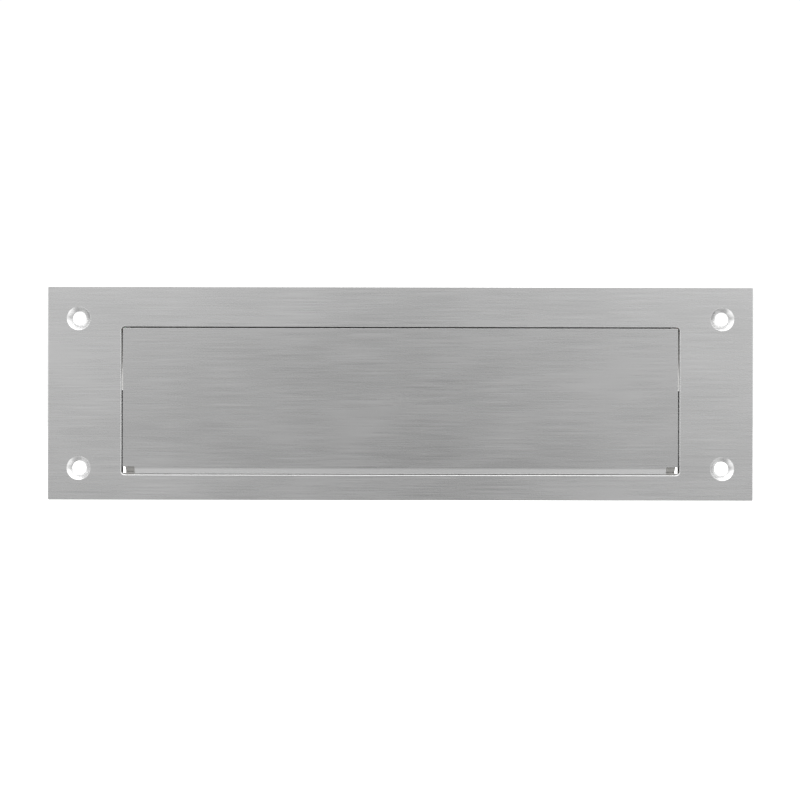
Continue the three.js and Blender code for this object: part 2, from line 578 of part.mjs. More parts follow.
function lockWasher() {
  const inner = STUD_RADIUS + LOCK_WASHER_BORE_CLEARANCE;
  const ring = openRing(0, 0, inner, inner + LOCK_WASHER_RING_WIDTH, LOCK_WASHER_SPLIT);
  return extrude(ring, LOCK_WASHER_THICKNESS, FACE_PLANE, -BRACKET_SHEET - LOCK_WASHER_THICKNESS);
}

function studNut() {
  const hexagon = new THREE.Shape();
  const corner = NUT_ACROSS_FLATS / Math.sqrt(3);
  for (let i = 0; i < 6; i++) {
    const angle = Math.PI / 3 * i;
    const point = [corner * Math.cos(angle), corner * Math.sin(angle)];
    i === 0 ? hexagon.moveTo(...point) : hexagon.lineTo(...point);
  }
  hexagon.holes.push(circle(0, 0, STUD_RADIUS + NUT_BORE_CLEARANCE));
  const top = BRACKET_SHEET + LOCK_WASHER_THICKNESS + NUT_HEIGHT;
  return extrude(hexagon, NUT_HEIGHT, FACE_PLANE, -top);
}

// ---- assembly ----
const letterPlate = new THREE.Group();
const plateGroup = new THREE.Group();
const flapGroup = new THREE.Group();
letterPlate.add(plateGroup, flapGroup);

function place(group, name, geometry, material, [x, y, z] = [0, 0, 0]) {
  const mesh = new THREE.Mesh(geometry, material);
  mesh.name = name;
  mesh.position.set(x, y, z);
  group.add(mesh);
}

function placePair(group, name, geometry, material, position) {
  place(group, `${name}_left`, mirrored(geometry), material, position);
  place(group, `${name}_right`, geometry, material, position);
}

place(plateGroup, 'front_plate', frontPlate(), BRUSHED_STAINLESS);
placePair(plateGroup, 'hinge_bracket', hingeBracket(), PRESSED_STAINLESS);
placePair(plateGroup, 'pivot_bush', pivotBush(), NATURAL_NYLON, [0, AXIS_Y, AXIS_Z]);
placePair(plateGroup, 'return_spring', returnSpring(), SPRING_STEEL);
placePair(plateGroup, 'stop_buffer', stopBuffer(), BLACK_RUBBER);
place(plateGroup, 'draught_strip_top', topDraughtStrip(), BLACK_RUBBER);
placePair(plateGroup, 'draught_strip', sideDraughtStrip(), BLACK_RUBBER);
for (const [end, x] of [['left', -STUD_X], ['right', STUD_X]]) {
  for (const [level, z] of [['upper', STUD_HEIGHTS[0]], ['lower', STUD_HEIGHTS[1]]]) {
    place(plateGroup, `weld_stud_${end}_${level}`, weldStud(), DRAWN_STEEL, [x, 0, z]);
    place(plateGroup, `lock_washer_${end}_${level}`, lockWasher(), ZINC_PLATED_STEEL, [x, 0, z]);
    place(plateGroup, `stud_nut_${end}_${level}`, studNut(), ZINC_PLATED_STEEL, [x, 0, z]);
  }
}

place(flapGroup, 'flap', flap(), BRUSHED_STAINLESS);
place(flapGroup, 'closing_strip', closingStrip(), PRESSED_STAINLESS);
placePair(flapGroup, 'flap_lug', flapLug(), PRESSED_STAINLESS);
place(flapGroup, 'hinge_rod', hingeRod(), DRAWN_STEEL, [0, AXIS_Y, AXIS_Z]);
placePair(flapGroup, 'rod_washer', rodWasher(), ZINC_PLATED_STEEL, [0, AXIS_Y, AXIS_Z]);
placePair(flapGroup, 'retaining_clip', retainingClip(), BLACK_OXIDE_STEEL);

export default letterPlate;
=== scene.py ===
"""Letter plate with an inward-opening flap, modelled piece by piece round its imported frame.

Lengths in this file are millimetres unless a name says otherwise; MM turns them into Blender's metres.
+Z is up, the front faces -Y, and the plate's rear face lies in the plane y = 0.
"""

import json
import math

import bpy
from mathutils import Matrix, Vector


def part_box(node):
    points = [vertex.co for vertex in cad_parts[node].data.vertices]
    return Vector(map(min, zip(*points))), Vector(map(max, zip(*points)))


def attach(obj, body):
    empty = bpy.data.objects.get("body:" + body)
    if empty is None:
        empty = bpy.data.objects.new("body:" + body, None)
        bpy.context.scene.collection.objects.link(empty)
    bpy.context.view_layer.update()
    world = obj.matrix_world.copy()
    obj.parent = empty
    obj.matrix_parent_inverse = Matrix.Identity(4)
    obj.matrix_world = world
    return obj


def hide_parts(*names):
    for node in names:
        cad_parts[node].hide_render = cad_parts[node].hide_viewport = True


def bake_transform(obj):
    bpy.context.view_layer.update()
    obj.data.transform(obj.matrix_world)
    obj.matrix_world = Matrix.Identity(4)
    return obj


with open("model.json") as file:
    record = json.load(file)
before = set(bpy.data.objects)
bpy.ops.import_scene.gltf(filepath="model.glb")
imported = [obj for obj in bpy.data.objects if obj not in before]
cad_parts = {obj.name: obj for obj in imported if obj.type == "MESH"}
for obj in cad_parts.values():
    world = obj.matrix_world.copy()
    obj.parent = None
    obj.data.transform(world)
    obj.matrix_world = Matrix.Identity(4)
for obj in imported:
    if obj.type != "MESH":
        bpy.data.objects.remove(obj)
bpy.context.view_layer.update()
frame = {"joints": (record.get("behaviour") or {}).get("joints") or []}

MM = 0.001


def node_box(node):
    """A CAD node's lowest and highest corner, in millimetres."""
    low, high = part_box(node)
    return low / MM, high / MM


# ---- sizes read from the frame ----
plate_low, plate_high = node_box("front_plate")
flap_low, flap_high = node_box("flap")
strip_low, strip_high = node_box("closing_strip")
lug_low, lug_high = node_box("flap_lug_right")
bracket_low, bracket_high = node_box("hinge_bracket_right")
bush_low, bush_high = node_box("pivot_bush_right")
rod_high = node_box("hinge_rod")[1]
rod_washer_low, rod_washer_high = node_box("rod_washer_right")
clip_low, clip_high = node_box("retaining_clip_right")
spring_low, spring_high = node_box("return_spring_right")
buffer_low, buffer_high = node_box("stop_buffer_right")
stud_low, stud_high = node_box("weld_stud_right_upper")
lock_washer_low, lock_washer_high = node_box("lock_washer_right_upper")
nut_low, nut_high = node_box("stud_nut_right_upper")
hinge = Vector(frame["joints"][0]["pos_m"]) / MM

# ---- sizes that the frame's boxes don't hold ----
EDGE_BREAK = 0.4
FINE_EDGE_BREAK = 0.1
SHEET_EDGE_BREAK = 0.2
LUG_EDGE_BREAK = 0.18
BUFFER_EDGE_BREAK = 0.2
LOCK_WASHER_EDGE_BREAK = 0.12
NUT_EDGE_BREAK = 0.06
APERTURE_END_GAP = 0.7
APERTURE_TOP_GAP = 0.6
APERTURE_BOTTOM_GAP = 0.3
APERTURE_CORNER_RADIUS = 1.5
PLATE_CORNER_RADIUS = 0.6
SCREW_INSET_X = 14.5
SCREW_INSET_Z = 15
SCREW_HOLE_RADIUS = 3.25
COUNTERSINK_RADIUS = 5.5
FLAP_SHEET = 1.5
LIP_HEIGHT = 3.4
LIP_ANGLE = math.radians(22)
LIP_RADIUS = 4
LIP_NOTCH_WIDTH = 5.5
STRIP_SHEET = 1.5
STRIP_BEND_RADIUS = 1.0
STRIP_WELD_HEIGHT = 4.5
STRIP_END_DROP = 0.5
LUG_SHEET = 1.5
LUG_FILLET = 0.5
LUG_SHOULDER_DROP = 1.0
LUG_FOOT_GAP = 1.5
LUG_LOWER_DEPTH = 3
BRACKET_SHEET = 2
BRACKET_FOOT_DROP = 6
BRACKET_LOWER_DEPTH = 5
BRACKET_BEND_RADIUS = 2.5
BRACKET_CORNER_RADIUS = 2
STUD_HOLE_RADIUS = 1.75
HEAD_RADIUS = 5.2
HEAD_BACK_ANGLE = math.radians(-25)
ROD_RADIUS = 2
BORE_RADIUS = 2.1
BUSH_RADIUS = 3
BUSH_HOLE_RADIUS = 3.1
BUSH_FLANGE_WIDTH = 1.6
BUSH_LEAD_IN = 0.3
GROOVE_RADIUS = 1.5
GROOVE_SIDE_GAP = 0.1
GROOVE_EDGE = 0.08
GROOVE_CORNER = 0.05
CLIP_GRIP_RADIUS = 1.62
CLIP_POCKET_RADIUS = 2.55
WIRE_RADIUS = 0.45
LEG_LEAN = math.radians(17.5)
COIL_TURNS = 8
COIL_RADIUS = 3.05
COIL_STEPS_PER_TURN = 32
LEG_GAP = 0.05
STUD_RADIUS = 1.5
THREAD_PITCH = 0.5
THREAD_DEPTH = 0.28
LOCK_WASHER_BORE_RADIUS = 1.65
LOCK_WASHER_SPLIT = math.radians(11)
NUT_MOUTH_RADIUS = 2.3
BUFFER_CORNER_RADIUS = 0.8
BUFFER_GROOVE_WIDTH = 0.7
BUFFER_GROOVE_DEPTH = 0.4
DRAUGHT_STRIP_CORNER_RADIUS = 0.3
DRAUGHT_STRIP_CROWN = 0.38
LUG_WELD_RADIUS = 1.9
LUG_WELD_OFFSET = 0.4
LUG_WELD_HEIGHTS = (4.5, 13.5)
STRIP_WELD_COUNT = 9
STRIP_WELD_RADIUS = 1.5
STRIP_WELD_INSET = 7
STRIP_WELD_LIFT = 0.2

# ---- working allowances ----
PAST = 1  # how far a cutter reaches past what it cuts
DOUBLES = 0.0005  # vertices closer than this are merged
BOOLEAN_DOUBLES = 0.01  # the same, after a boolean
FOOT_CUT_REACH = 0.2  # how far a foot's cutter reaches behind the foot

aperture_half = flap_high.x + APERTURE_END_GAP
aperture_top = flap_high.z + APERTURE_TOP_GAP
aperture_bottom = flap_low.z - APERTURE_BOTTOM_GAP
flap_back = flap_low.y + FLAP_SHEET
lip_top = flap_low.z + LIP_HEIGHT
strip_leaves = strip_high.z - STRIP_WELD_HEIGHT
strip_front = strip_high.y - STRIP_SHEET


# ---- camera, at the distance that shows the inside of the outer screw holes ----
CAMERA_DISTANCE = 800
FIELD_WIDTH = 374.0
SENSOR_WIDTH = 36
CAMERA_PLACE = Vector((-0.2, plate_low.y - CAMERA_DISTANCE, -3.0))
CAMERA_ROLL = math.radians(-0.1)


def make_camera():
    bpy.ops.object.camera_add(location=CAMERA_PLACE * MM, rotation=(math.pi / 2, CAMERA_ROLL, 0))
    camera = bpy.context.object
    camera.name = "camera"
    camera.data.sensor_width = SENSOR_WIDTH
    camera.data.lens = SENSOR_WIDTH * CAMERA_DISTANCE / FIELD_WIDTH
    camera.data.clip_start = 0.01
    camera.data.clip_end = 50
    bpy.context.scene.camera = camera


# ---- nodes and colours ----
def linear(hex_colour):
    """An sRGB hex colour as linear RGBA."""
    channels = [int(hex_colour[i : i + 2], 16) / 255 for i in (0, 2, 4)]
    return [c / 12.92 if c <= 0.04045 else ((c + 0.055) / 1.055) ** 2.4 for c in channels] + [1.0]


def add(tree, kind, settings=None, **inputs):
    """Adds a node, sets its properties, and sets or links its inputs.

    An underscore stands for a space, and i0, i1 and so on pick an input by its number."""
    node = tree.nodes.new(kind)
    for key, value in (settings or {}).items():
        setattr(node, key, value)
    for key, value in inputs.items():
        numbered = key[0] == "i" and key[1:].isdigit()
        socket = node.inputs[int(key[1:]) if numbered else key.replace("_", " ")]
        if isinstance(value, bpy.types.NodeSocket):
            tree.links.new(value, socket)
        else:
            socket.default_value = value
    return node


def start_material(name):
    material = bpy.data.materials.new(name)
    material.use_nodes = True
    tree = material.node_tree
    shader = tree.nodes["Principled BSDF"]
    place = add(tree, "ShaderNodeTexCoord").outputs["Object"]
    return material, tree, shader, place


def stretched_noise(tree, place, size, detail=3.0, roughness=0.55):
    """Noise whose features are about size = (x, y, z) millimetres."""
    scale = [1 / (MM * length) for length in size]
    mapped = add(tree, "ShaderNodeMapping", None, Vector=place, Scale=scale)
    noise = add(
        tree, "ShaderNodeTexNoise", None,
        Vector=mapped.outputs["Vector"], Scale=1.0, Detail=detail, Roughness=roughness,
    )
    return noise.outputs["Fac"]


def spread(tree, value, low, high):
    """Moves a noise value, mostly 0.3 to 0.7, into the range low to high."""
    ranged = add(tree, "ShaderNodeMapRange", None, Value=value, i1=0.3, i2=0.7, i3=low, i4=high)
    return ranged.outputs["Result"]


def blended(tree, factor, first, second):
    colours = {"i6": linear(first), "i7": linear(second)}
    mixed = add(tree, "ShaderNodeMix", {"data_type": "RGBA"}, i0=factor, **colours)
    return mixed.outputs[2]


def bumped(tree, height, depth, strength=1.0, normal=None):
    """A bump of the given depth in millimetres."""
    inputs = {"Height": height, "Distance": depth * MM, "Strength": strength}
    if normal is not None:
        inputs["Normal"] = normal
    return add(tree, "ShaderNodeBump", None, **inputs).outputs["Normal"]


def connect(tree, shader, **inputs):
    for key, value in inputs.items():
        socket = shader.inputs[key.replace("_", " ")]
        if isinstance(value, bpy.types.NodeSocket):
            tree.links.new(value, socket)
        else:
            socket.default_value = value


# ---- materials ----
def brushed_stainless_304(name, dark, light):
    """304 sheet brushed lengthways with a 240 grit belt: long fine scratches along X that smear
    reflections up and down, a neutral grey, and faintly lighter and darker streaks."""
    material, tree, shader, place = start_material(name)
    streaks = stretched_noise(tree, place, (32, 32, 0.42), 3.0)
    scratches = stretched_noise(tree, place, (14, 14, 0.18), 2.0)
    wipe_marks = stretched_noise(tree, place, (60, 60, 25), 2.0)
    colour = blended(tree, spread(tree, streaks, 0.0, 1.0), dark, light)
    rough_streaks = spread(tree, streaks, 0.25, 0.30)
    rough_wipes = spread(tree, wipe_marks, -0.02, 0.02)
    rough = add(
        tree, "ShaderNodeMath", {"operation": "ADD"}, i0=rough_streaks, i1=rough_wipes
    ).outputs["Value"]
    tangent = add(tree, "ShaderNodeTangent", {"direction_type": "RADIAL", "axis": "X"}).outputs["Tangent"]
    connect(
        tree, shader, Base_Color=colour, Metallic=1.0, Roughness=rough, Anisotropic=0.6, Tangent=tangent,
        Normal=bumped(tree, scratches, 0.003, 0.5, bumped(tree, streaks, 0.003, 0.5)),
    )
    return material


def mill_finish_stainless():
    """2B stainless sheet, as rolled: an even, slightly milky grey, softly mottled and faintly grained."""
    material, tree, shader, place = start_material("mill_finish_stainless")
    mottle = stretched_noise(tree, place, (3.5, 3.5, 3.5), 4.0)
    grain = stretched_noise(tree, place, (2.5, 2.5, 0.2), 2.0)
    colour = blended(tree, spread(tree, mottle, 0.0, 1.0), "b6b5b2", "bebdba")
    connect(
        tree, shader, Base_Color=colour, Metallic=1.0, Roughness=spread(tree, mottle, 0.34, 0.40),
        Normal=bumped(tree, grain, 0.003, 0.5),
    )
    return material


def drawn_bright_stainless():
    """Bright drawn stainless bar: fine draw lines along X and a sharper shine than sheet."""
    material, tree, shader, place = start_material("drawn_bright_stainless")
    lines = stretched_noise(tree, place, (20, 0.25, 0.25), 2.0)
    colour = blended(tree, spread(tree, lines, 0.0, 1.0), "c2c2c0", "d2d2d0")
    connect(
        tree, shader, Base_Color=colour, Metallic=1.0, Roughness=spread(tree, lines, 0.2, 0.3),
        Normal=bumped(tree, lines, 0.002, 0.5),
    )
    return material


def spring_wire():
    """Drawn stainless spring wire, tempered: darker, slightly warm, with a drawn skin."""
    material, tree, shader, place = start_material("spring_wire_302")
    skin = stretched_noise(tree, place, (0.8, 0.8, 0.8), 3.0)
    colour = blended(tree, spread(tree, skin, 0.0, 1.0), "8d8a84", "a5a19a")
    connect(
        tree, shader, Base_Color=colour, Metallic=1.0, Roughness=spread(tree, skin, 0.26, 0.38),
        Normal=bumped(tree, skin, 0.004, 0.5),
    )
    return material


def bright_zinc_plate():
    """Bright zinc plate with clear passivate: cool silver, with faint blue and straw clouds."""
    material, tree, shader, place = start_material("bright_zinc_plate")
    clouds = stretched_noise(tree, place, (2.2, 2.2, 2.2), 2.0)
    grain = stretched_noise(tree, place, (0.3, 0.3, 0.3), 3.0)
    colour = blended(tree, spread(tree, clouds, 0.0, 1.0), "b9c3cd", "cdc8b6")
    connect(
        tree, shader, Base_Color=colour, Metallic=1.0, Roughness=spread(tree, grain, 0.24, 0.36),
        Normal=bumped(tree, grain, 0.006, 0.5),
    )
    return material


def black_oxide():
    """Black oxide on hardened spring steel: near black, oiled, rubbed to grey in places."""
    material, tree, shader, place = start_material("black_oxide_steel")
    rub = stretched_noise(tree, place, (0.9, 0.9, 0.9), 3.0)
    colour = blended(tree, spread(tree, rub, 0.0, 1.0), "262524", "45433f")
    connect(
        tree, shader, Base_Color=colour, Metallic=0.8, Roughness=spread(tree, rub, 0.34, 0.5),
        Normal=bumped(tree, rub, 0.004, 0.5),
    )
    return material


def natural_nylon():
    """Injection moulded natural PA6: ivory, slightly cloudy, a satin mould skin."""
    material, tree, shader, place = start_material("natural_nylon_pa6")
    cloud = stretched_noise(tree, place, (2.0, 2.0, 2.0), 3.0)
    skin = stretched_noise(tree, place, (0.25, 0.25, 0.25), 2.0)
    colour = blended(tree, spread(tree, cloud, 0.0, 1.0), "e0dbc9", "ece8db")
    connect(
        tree, shader, Base_Color=colour, Roughness=spread(tree, skin, 0.4, 0.52), IOR=1.53,
        Subsurface_Weight=0.15, Subsurface_Scale=0.0006, Normal=bumped(tree, skin, 0.004, 0.5),
    )
    return material


def moulded_rubber():
    """Moulded black EPDM: matt, very slightly dusty, with a fine grained skin."""
    material, tree, shader, place = start_material("moulded_epdm_rubber")
    dust = stretched_noise(tree, place, (1.6, 1.6, 1.6), 3.0)
    grain = stretched_noise(tree, place, (0.14, 0.14, 0.14), 2.0)
    colour = blended(tree, spread(tree, dust, 0.0, 1.0), "1b1b1b", "2b2a29")
    connect(
        tree, shader, Base_Color=colour, Roughness=spread(tree, dust, 0.72, 0.88), IOR=1.5,
        Normal=bumped(tree, grain, 0.012, 0.6),
    )
    return material


def weld_metal():
    """A resistance spot weld in stainless, pickled clean: a dull, faintly mottled warm grey."""
    material, tree, shader, place = start_material("pickled_spot_weld")
    tint = stretched_noise(tree, place, (1.1, 1.1, 1.1), 2.0)
    ripple = stretched_noise(tree, place, (0.5, 0.9, 0.9), 2.0)
    colour = blended(tree, spread(tree, tint, 0.0, 1.0), "9b9994", "aeaca6")
    connect(
        tree, shader, Base_Color=colour, Metallic=1.0, Roughness=spread(tree, tint, 0.36, 0.5),
        Normal=bumped(tree, ripple, 0.03, 0.6),
    )
    return material


# ---- making meshes ----
def deselect():
    bpy.ops.object.select_all(action="DESELECT")


def activate(piece):
    deselect()
    piece.select_set(True)
    bpy.context.view_layer.objects.active = piece


def edit(piece, mode="VERT"):
    activate(piece)
    bpy.ops.object.mode_set(mode="EDIT")
    bpy.ops.mesh.select_mode(type=mode)


def leave():
    bpy.ops.object.mode_set(mode="OBJECT")


def tidy_mesh():
    """In edit mode: merges doubles, drops loose vertices and edges, and turns every face outwards."""
    bpy.ops.mesh.select_all(action="SELECT")
    bpy.ops.mesh.remove_doubles(threshold=DOUBLES * MM)
    bpy.ops.mesh.delete_loose(use_verts=True, use_edges=True, use_faces=False)
    bpy.ops.mesh.select_all(action="SELECT")
    bpy.ops.mesh.normals_make_consistent(inside=False)


def settle(piece):
    """Puts the object at the origin, unturned and unscaled, with its place in its mesh."""
    activate(piece)
    bpy.ops.object.transform_apply(location=True, rotation=True, scale=True)
    return piece


def block(name, low, high):
    """A cube sized and placed between two corners."""
    deselect()
    low, high = Vector(low), Vector(high)
    bpy.ops.mesh.primitive_cube_add(size=1, location=(low + high) / 2 * MM)
    piece = bpy.context.object
    piece.name = name
    piece.scale = (high - low) * MM
    return settle(piece)


def select_edges(piece, test):
    """In edit mode, edge select: picks the edges whose two ends, in millimetres, pass the test."""
    bpy.ops.mesh.select_all(action="DESELECT")
    leave()
    for edge in piece.data.edges:
        a, b = (piece.data.vertices[v].co / MM for v in edge.vertices)
        edge.select = test(a, b)
    bpy.ops.object.mode_set(mode="EDIT")


def round_edges(piece, test, radius, segments):
    edit(piece, "EDGE")
    select_edges(piece, test)
    bpy.ops.mesh.bevel(offset=radius * MM, segments=segments, affect="EDGES", clamp_overlap=False)
    leave()


def same_line(axis, **at):
    """A test for edges that run along axis ("x", "y" or "z") at the given other coordinates."""

    def test(a, b):
        if any(abs(getattr(a, k) - v) > 0.01 or abs(getattr(b, k) - v) > 0.01 for k, v in at.items()):
            return False
        return abs(getattr(a, axis) - getattr(b, axis)) > 0.05

    return test


def boolean(piece, tool, operation="DIFFERENCE"):
    activate(piece)
    modifier = piece.modifiers.new("join", "BOOLEAN")
    modifier.operation = operation
    modifier.solver = "EXACT"
    modifier.object = tool
    bpy.ops.object.modifier_apply(modifier=modifier.name)
    bpy.data.objects.remove(tool)
    edit(piece)
    bpy.ops.mesh.select_all(action="SELECT")
    bpy.ops.mesh.remove_doubles(threshold=BOOLEAN_DOUBLES * MM)
    bpy.ops.mesh.dissolve_limited(angle_limit=math.radians(0.5))
    leave()
    return piece


def break_edges(piece, width, segments=3, angle=30):
    """Rounds every edge sharper than the angle."""
    activate(piece)
    modifier = piece.modifiers.new("edges", "BEVEL")
    modifier.width = width * MM
    modifier.segments = segments
    modifier.limit_method = "ANGLE"
    modifier.angle_limit = math.radians(angle)
    bpy.ops.object.modifier_apply(modifier=modifier.name)
    return piece


def start_point():
    """One vertex at the origin, in edit mode, selected."""
    deselect()
    bpy.ops.mesh.primitive_plane_add(size=MM)
    piece = bpy.context.object
    bpy.ops.object.mode_set(mode="EDIT")
    bpy.ops.mesh.select_mode(type="VERT")
    bpy.ops.mesh.select_all(action="SELECT")
    bpy.ops.mesh.merge(type="CENTER")
    return piece


def draw(points):
    """A closed line, extruded vertex by vertex through the points. Stays in edit mode, all selected."""
    piece = start_point()
    here = Vector((0, 0, 0))
    for i, point in enumerate([*points, points[0]]):
        move = (Vector(point) - here) * MM
        if i == 0:
            bpy.ops.transform.translate(value=move)
        else:
            bpy.ops.mesh.extrude_region_move(TRANSFORM_OT_translate={"value": move})
        here = Vector(point)
    bpy.ops.mesh.select_all(action="SELECT")
    bpy.ops.mesh.remove_doubles(threshold=DOUBLES * MM)
    return piece


def plate_of(name, points, thickness):
    """A flat outline, filled and given thickness = (x, y, z)."""
    piece = draw(points)
    bpy.ops.mesh.edge_face_add()
    bpy.ops.mesh.extrude_region_move(TRANSFORM_OT_translate={"value": Vector(thickness) * MM})
    tidy_mesh()
    leave()
    piece.name = name
    return piece


def turned(name, profile, axis, centre, steps=48):
    """A profile of (place along the axis, radius), spun round the axis. A radius of 0 closes an end."""
    along = Vector((1, 0, 0)) if axis == "X" else Vector((0, 1, 0))
    across = Vector((0, 0, 1))
    origin = Vector(centre)
    piece = draw([origin + along * place + across * radius for place, radius in profile])
    bpy.ops.mesh.spin(steps=steps, angle=math.tau, center=origin * MM, axis=along, use_auto_merge=True)
    bpy.ops.mesh.select_all(action="SELECT")
    bpy.ops.mesh.remove_doubles(threshold=DOUBLES * MM)
    bpy.ops.mesh.dissolve_degenerate(threshold=0.0001 * MM)
    tidy_mesh()
    leave()
    piece.name = name
    return piece


def arc(centre, radius, start, end, steps):
    """Points (u, v) on an arc, both ends included. Angles in radians."""
    return [
        (centre[0] + radius * math.cos(start + (end - start) * i / steps),
         centre[1] + radius * math.sin(start + (end - start) * i / steps))
        for i in range(steps + 1)
    ]


def rounded_rectangle(left, bottom, right, top, radius, steps=5):
    quarter = math.pi / 2
    corners = [
        ((right - radius, top - radius), 0),
        ((left + radius, top - radius), 1),
        ((left + radius, bottom + radius), 2),
        ((right - radius, bottom + radius), 3),
    ]
    points = []
    for centre, turn in corners:
        points += arc(centre, radius, turn * quarter, (turn + 1) * quarter, steps)
    return points


def face_plane(points, y):
    return [Vector((u, y, v)) for u, v in points]


def side_plane(points, x):
    return [Vector((x, u, v)) for u, v in points]


def mirrored(piece, name):
    """A copy with its own mesh, mirrored to the other end of the plate."""
    copy = piece.copy()
    copy.data = piece.data.copy()
    copy.name = name
    bpy.context.scene.collection.objects.link(copy)
    activate(copy)
    bpy.ops.transform.resize(value=(-1, 1, 1), center_override=(0, 0, 0))
    settle(copy)
    edit(copy)
    tidy_mesh()
    leave()
    return copy


def moved_copy(piece, name, offset):
    copy = piece.copy()
    copy.data = piece.data.copy()
    copy.name = name
    bpy.context.scene.collection.objects.link(copy)
    copy.location = Vector(offset) * MM
    return settle(copy)


def smooth(piece, angle=40):
    activate(piece)
    bpy.ops.object.shade_smooth_by_angle(angle=math.radians(angle))
    modifier = piece.modifiers.new("normals", "WEIGHTED_NORMAL")
    modifier.keep_sharp = True
    bpy.ops.object.modifier_apply(modifier=modifier.name)


def finish_piece(piece, material, body, slot, node=None, angle=40):
    """Shades a piece, gives it its material and body, and hides the CAD node that it stands for."""
    smooth(piece, angle)
    piece.data.materials.clear()
    piece.data.materials.append(material)
    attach(piece, body)
    if node:
        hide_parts(node)


# ---- front plate ----
def screw_cutter(x, z):
    """A through hole with a 90 degree countersink, from the front."""
    front = plate_low.y
    cone = COUNTERSINK_RADIUS - SCREW_HOLE_RADIUS
    profile = [
        (front - PAST, 0), (front - PAST, COUNTERSINK_RADIUS + PAST), (front + cone, SCREW_HOLE_RADIUS),
        (PAST, SCREW_HOLE_RADIUS), (PAST, 0),
    ]
    return turned("cutter", profile, "Y", (x, 0, z), 72)


def make_front_plate(material):
    plate = block("front_plate_steel", plate_low, plate_high)
    for x in (plate_low.x, plate_high.x):
        for z in (plate_low.z, plate_high.z):
            round_edges(plate, same_line("y", x=x, z=z), PLATE_CORNER_RADIUS, 4)
    outline = rounded_rectangle(
        -aperture_half, aperture_bottom, aperture_half, aperture_top, APERTURE_CORNER_RADIUS, 6
    )
    depth = plate_high.y - plate_low.y + 2 * PAST
    boolean(plate, plate_of("cutter", face_plane(outline, plate_low.y - PAST), (0, depth, 0)))
    break_edges(plate, EDGE_BREAK, 4)
    for x in (plate_low.x + SCREW_INSET_X, plate_high.x - SCREW_INSET_X):
        for z in (plate_low.z + SCREW_INSET_Z, plate_high.z - SCREW_INSET_Z):
            boolean(plate, screw_cutter(x, z))
    break_edges(plate, FINE_EDGE_BREAK, 2)
    finish_piece(plate, material, "plate", "brushed_stainless", "front_plate", 30)


# ---- flap ----
def flap_section():
    """The flap's sheet from its end: the face, and the lip that slants inwards along its lower edge."""
    bend = (flap_low.y + LIP_RADIUS, lip_top)
    straight = LIP_HEIGHT - LIP_RADIUS * math.sin(LIP_ANGLE)
    end_y = flap_low.y + LIP_RADIUS * (1 - math.cos(LIP_ANGLE)) + straight * math.tan(LIP_ANGLE)
    return [
        (flap_low.y, flap_high.z),
        *arc(bend, LIP_RADIUS, math.pi, math.pi + LIP_ANGLE, 10),
        (end_y, flap_low.z),
        (end_y + FLAP_SHEET / math.cos(LIP_ANGLE), flap_low.z),
        *arc(bend, LIP_RADIUS - FLAP_SHEET, math.pi + LIP_ANGLE, math.pi, 10),
        (flap_back, flap_high.z),
    ]


def make_flap(material):
    flap = plate_of("flap_sheet", side_plane(flap_section(), flap_low.x), (flap_high.x - flap_low.x, 0, 0))
    for side in (-1, 1):
        ends = sorted([side * (flap_high.x - LIP_NOTCH_WIDTH), side * (flap_high.x + PAST)])
        corner = (ends[0], flap_low.y - PAST, flap_low.z - PAST)
        boolean(flap, block("cutter", corner, (ends[1], strip_high.y, lip_top)))
    break_edges(flap, EDGE_BREAK, 4, 25)
    finish_piece(flap, material, "flap", "brushed_stainless", "flap", 20)


def strip_section():
    """The closing strip from its end: welded upper part, 45 degree step, and the part behind the plate.

    Each bend is centred so that its arcs meet the straight faces of both parts without a kink."""
    turn = math.pi / 4
    outer = STRIP_BEND_RADIUS + STRIP_SHEET
    back = strip_low.y + STRIP_SHEET
    drop = strip_front - strip_low.y
    # The upper bend is centred behind the strip, and the lower bend in front of it.
    half_turn = math.tan(turn / 2)
    upper = (strip_low.y + outer, strip_leaves + outer * half_turn)
    lower = (strip_front - STRIP_BEND_RADIUS, strip_leaves - drop - STRIP_BEND_RADIUS * half_turn)
    return [
        (strip_low.y, strip_high.z),
        *arc(upper, outer, math.pi, math.pi + turn, 6),
        *arc(lower, STRIP_BEND_RADIUS, turn, 0, 6),
        (strip_front, strip_low.z),
        (strip_high.y, strip_low.z),
        *arc(lower, outer, 0, turn, 6),
        *arc(upper, STRIP_BEND_RADIUS, math.pi + turn, math.pi, 6),
        (back, strip_high.z),
    ]


def make_closing_strip(material):
    width = (strip_high.x - strip_low.x, 0, 0)
    strip = plate_of("closing_strip_steel", side_plane(strip_section(), strip_low.x), width)
    shoulder = aperture_bottom + STRIP_END_DROP
    for side in (-1, 1):
        ends = sorted([side * lug_high.x, side * (strip_high.x + PAST)])
        corner = (ends[1], strip_high.y + PAST, strip_high.z + PAST)
        boolean(strip, block("cutter", (ends[0], strip_low.y - PAST, shoulder), corner))
    break_edges(strip, SHEET_EDGE_BREAK, 3, 25)
    finish_piece(strip, material, "flap", "pressed_stainless", "closing_strip", 25)


# ---- folded steel: the flap's lugs and the hinge brackets ----
def head_outline(front, low, lower_depth, corners):
    """Seen from the end: a straight rear edge that rises to a round head on the hinge axis.

    It runs past the piece's lower end and front. Corners (y, z) finish it from the head's front down."""
    head = arc((hinge.y, hinge.z), HEAD_RADIUS, HEAD_BACK_ANGLE, math.pi, 28)
    foot = Vector((front + lower_depth, low))
    past = foot + (foot - Vector(head[0])).normalized()
    return [(front - PAST, past.y), tuple(past), *head, *corners]


